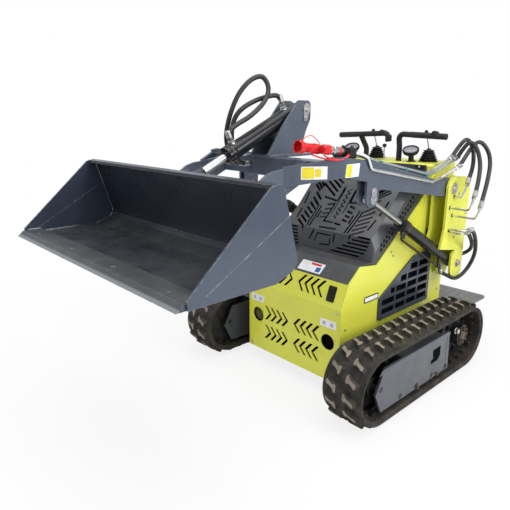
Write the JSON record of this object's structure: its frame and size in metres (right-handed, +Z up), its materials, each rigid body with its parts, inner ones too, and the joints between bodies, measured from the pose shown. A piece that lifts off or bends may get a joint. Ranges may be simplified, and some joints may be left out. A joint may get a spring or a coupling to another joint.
{
  "type": "mini track loader",
  "caption": "Walk-behind mini track loader on two rubber tracks, with lift arms, a tilting front bucket, hydraulic cylinders and a rear operator platform.",
  "frame": {"origin": "middle of the footprint's bounding box, on the ground", "axes": "+Y towards the rear of the machine, +X to its left side, +Z up"},
  "size_m": [1.05, 2.038, 1.2928],
  "materials": {
    "lime_paint": "satin lime yellow paint",
    "slate_paint": "satin dark slate paint",
    "black_paint": "satin black paint",
    "grey_paint": "matt grey paint",
    "track_rubber": "worn rubber with a dusty tread",
    "grip_rubber": "matt black rubber",
    "hose_rubber": "black hose",
    "cast_metal": "dark cast metal",
    "pin_steel": "zinc plated steel",
    "rod_chrome": "polished hard chrome",
    "red_plastic": "red dust caps",
    "dark_plastic": "dark moulded plastic"
  },
  "bodies": {
    "chassis": {"front_panel": "lime_paint", "nose_panel": "slate_paint", "hood": "slate_paint", "left_side_panel": "lime_paint", "right_side_panel": "lime_paint", "left_grille": "slate_paint", "right_grille": "slate_paint", "belly_plate": "slate_paint", "rear_panel": "lime_paint", "engine_block": "cast_metal", "left_tower": "lime_paint", "right_tower": "lime_paint", "left_pivot_pin": "pin_steel", "right_pivot_pin": "pin_steel", "left_lift_foot_pin": "pin_steel", "right_lift_foot_pin": "pin_steel", "control_console": "lime_paint", "hand_grips": "grip_rubber", "controls": "dark_plastic", "operator_platform": "grey_paint", "tower_pipes": "pin_steel", "left_lift_lines": "hose_rubber", "right_lift_lines": "hose_rubber", "left_track": "track_rubber", "right_track": "track_rubber", "left_track_frame": "slate_paint", "right_track_frame": "slate_paint", "frame_beams": "slate_paint", "left_idler": "cast_metal", "right_idler": "cast_metal", "left_sprocket": "cast_metal", "right_sprocket": "cast_metal", "left_rollers": "cast_metal", "right_rollers": "cast_metal"},
    "lift_arms": {"left_lift_arm": "slate_paint", "right_lift_arm": "slate_paint", "left_lift_eye_pin": "pin_steel", "right_lift_eye_pin": "pin_steel", "crossmember": "slate_paint", "tilt_tower": "slate_paint", "tilt_foot_pin": "pin_steel", "arm_pipes": "pin_steel", "arm_hoses": "hose_rubber", "hydraulic_couplers": "red_plastic"},
    "left_lift_barrel": {"left_lift_barrel": "black_paint", "left_lift_hose": "hose_rubber"},
    "left_lift_rod": {"left_lift_rod": "rod_chrome"},
    "right_lift_barrel": {"right_lift_barrel": "black_paint", "right_lift_hose": "hose_rubber"},
    "right_lift_rod": {"right_lift_rod": "rod_chrome"},
    "tilt_barrel": {"tilt_barrel": "black_paint", "tilt_hoses": "hose_rubber"},
    "tilt_rod": {"tilt_rod": "rod_chrome"},
    "bucket": {"bucket_shell": "slate_paint", "cutting_edge": "slate_paint", "quick_attach_plate": "slate_paint", "bucket_hinge_pins": "pin_steel", "tilt_eye_pins": "pin_steel"}
  },
  "joints": [
    {"name": "arm_lift", "type": "hinge", "parent": "chassis", "child": "lift_arms", "pos_m": [0, 0.574, 0.829], "axis": [-1, 0, 0], "range_deg": [-39, 50], "deforming": ["arm_hoses"]},
    {"name": "bucket_tilt", "type": "hinge", "parent": "lift_arms", "child": "bucket", "pos_m": [0, -0.571, 0.773], "axis": [-1, 0, 0], "range_deg": [-75, 45]},
    {"name": "left_lift_swing", "type": "hinge", "parent": "chassis", "child": "left_lift_barrel", "pos_m": [0.331, 0.683, 0.46], "axis": [-1, 0, 0], "range_deg": [-26, 34], "deforming": ["left_lift_hose"]},
    {"name": "left_lift_stroke", "type": "slide", "parent": "left_lift_barrel", "child": "left_lift_rod", "axis": [0, -0.8796, 0.4756], "range_m": [-0.17, 0.218]},
    {"name": "right_lift_swing", "type": "hinge", "parent": "chassis", "child": "right_lift_barrel", "pos_m": [-0.331, 0.683, 0.46], "axis": [-1, 0, 0], "range_deg": [-26, 34], "deforming": ["right_lift_hose"]},
    {"name": "right_lift_stroke", "type": "slide", "parent": "right_lift_barrel", "child": "right_lift_rod", "axis": [0, -0.8796, 0.4756], "range_m": [-0.17, 0.218]},
    {"name": "tilt_swing", "type": "hinge", "parent": "lift_arms", "child": "tilt_barrel", "pos_m": [0, -0.071, 1.17], "axis": [-1, 0, 0], "range_deg": [-1, 1.5], "deforming": ["tilt_hoses"]},
    {"name": "tilt_stroke", "type": "slide", "parent": "tilt_barrel", "child": "tilt_rod", "axis": [0, -0.9098, -0.4151], "range_m": [-0.105, 0.174]}
  ],
  "couplings": [
    {"joint": "left_lift_swing", "follows": "arm_lift", "ratio": 0.66},
    {"joint": "left_lift_stroke", "follows": "arm_lift", "m_per_rad": 0.2464},
    {"joint": "right_lift_swing", "follows": "arm_lift", "ratio": 0.66},
    {"joint": "right_lift_stroke", "follows": "arm_lift", "m_per_rad": 0.2464},
    {"joint": "tilt_swing", "follows": "bucket_tilt", "ratio": -0.015},
    {"joint": "tilt_stroke", "follows": "bucket_tilt", "m_per_rad": -0.132}
  ]
}
